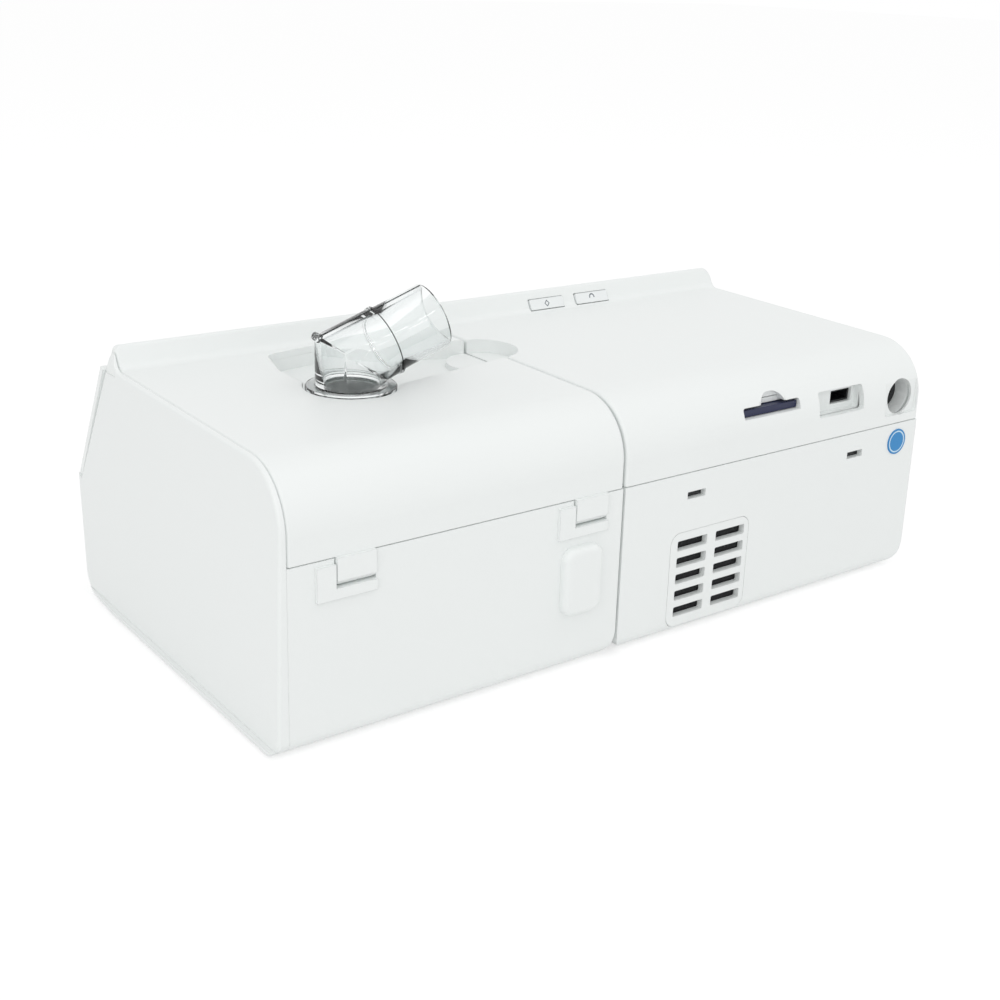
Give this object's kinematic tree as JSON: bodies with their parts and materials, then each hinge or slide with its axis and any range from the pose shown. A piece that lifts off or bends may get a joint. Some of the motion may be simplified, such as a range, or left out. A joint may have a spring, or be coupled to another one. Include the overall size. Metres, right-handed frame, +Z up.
{
  "type": "positive airway pressure machine",
  "caption": "Bedside breathing-air machine: blower unit with display, knob and rear ports, beside a heated water humidifier with hinged lid and swivelling outlet elbow.",
  "frame": {"origin": "centre of the footprint, on the surface that the feet stand on", "axes": "+X along the length to the humidifier, -Y towards the sloping front, +Y out of the rear ports, +Z up"},
  "size_m": [0.268, 0.1509, 0.1159],
  "materials": {
    "case_white": "fine satin texture",
    "panel_white": "satin",
    "window_black": "polished",
    "control_grey": "satin",
    "button_white": "satin",
    "card_navy": "satin",
    "port_black": "matte",
    "clear_plastic": "polished, clear",
    "tank_clear": "polished, clear",
    "label_blue": "printed film",
    "circuit_green": "solder mask",
    "steel": "bright",
    "heater_metal": "brushed",
    "motor_paint": "satin",
    "foot_rubber": "matte",
    "seal_rubber": "matte",
    "foam_grey": "open foam",
    "inner_plastic": "moulded"
  },
  "bodies": {
    "case": {"main_top_cover": "case_white", "main_base_housing": "case_white", "case_screws": "steel", "case_clips": "port_black", "front_panel": "panel_white", "display_window": "window_black", "display_module": "motor_paint", "rotary_encoder": "port_black", "home_switch": "port_black", "front_board": "circuit_green", "key_board": "circuit_green", "card_socket": "port_black", "comm_port": "port_black", "power_inlet": "port_black", "power_inlet_pin": "steel", "label_disc": "label_blue", "filter_pad": "foam_grey", "muffler_foam": "foam_grey", "blower_lower_housing": "inner_plastic", "blower_upper_housing": "inner_plastic", "blower_motor": "motor_paint", "blower_mounts": "seal_rubber", "duct_seal": "seal_rubber", "main_board": "circuit_green", "main_feet": "foot_rubber", "humidifier_feet": "foot_rubber", "humidifier_base": "case_white", "hinge_pins": "steel", "end_cap": "case_white", "water_tank": "tank_clear", "tank_seal": "seal_rubber", "tank_lid": "tank_clear", "heater_plate": "heater_metal", "heater_insulation": "foam_grey", "humidifier_board": "circuit_green", "accessory_socket": "port_black"},
    "lid": {"humidifier_lid": "case_white", "elbow_seal": "seal_rubber", "outlet_gasket": "seal_rubber", "humidifier_front_panel": "panel_white"},
    "elbow": {"outlet_elbow": "clear_plastic"},
    "encoder": {"encoder_shaft": "steel"},
    "knob": {"control_knob": "control_grey"},
    "home": {"home_button": "button_white"},
    "start": {"start_button": "button_white"},
    "ramp": {"ramp_button": "button_white"},
    "release": {"release_button": "button_white"},
    "card": {"memory_card": "card_navy"},
    "filter_door": {"filter_cover": "case_white"},
    "accessory_door": {"accessory_cover": "case_white"},
    "rotor": {"impeller": "inner_plastic", "motor_shaft": "steel"}
  },
  "joints": [
    {"name": "lid_hinge", "type": "hinge", "parent": "case", "child": "lid", "pos_m": [0, 0.071, 0.052], "axis": [-1, 0, 0], "range_deg": [0, 95]},
    {"name": "elbow_swivel", "type": "hinge", "parent": "lid", "child": "elbow", "pos_m": [0.074, 0.012, 0.085], "axis": [0, 0, 1], "range_deg": [-175, 95]},
    {"name": "knob_turn", "type": "hinge", "parent": "case", "child": "encoder", "pos_m": [-0.021, -0.06113, 0.0618], "axis": [0, -0.8694, 0.4942], "continuous": true},
    {"name": "knob_press", "type": "slide", "parent": "encoder", "child": "knob", "axis": [0, 0.8694, -0.4942], "range_m": [0, 0.0008], "stiffness_N_per_m": 800},
    {"name": "home_press", "type": "slide", "parent": "case", "child": "home", "axis": [0, 0.8694, -0.4942], "range_m": [0, 0.0008], "stiffness_N_per_m": 500},
    {"name": "start_press", "type": "slide", "parent": "case", "child": "start", "axis": [0, -0.8492, -0.5281], "range_m": [0, 0.0008], "stiffness_N_per_m": 500},
    {"name": "ramp_press", "type": "slide", "parent": "case", "child": "ramp", "axis": [0, -0.8492, -0.5281], "range_m": [0, 0.0008], "stiffness_N_per_m": 500},
    {"name": "release_press", "type": "slide", "parent": "lid", "child": "release", "axis": [0, 0.8694, -0.4942], "range_m": [0, 0.0008], "stiffness_N_per_m": 600},
    {"name": "card_slide", "type": "slide", "parent": "case", "child": "card", "axis": [0, 1, 0], "range_m": [0, 0.024]},
    {"name": "filter_door_slide", "type": "slide", "parent": "case", "child": "filter_door", "axis": [0, 1, 0], "range_m": [0, 0.02]},
    {"name": "accessory_door_slide", "type": "slide", "parent": "case", "child": "accessory_door", "axis": [0, 1, 0], "range_m": [0, 0.012]},
    {"name": "rotor_spin", "type": "hinge", "parent": "case", "child": "rotor", "pos_m": [-0.062, -0.006, 0.025], "axis": [0, 0, 1], "continuous": true}
  ]
}
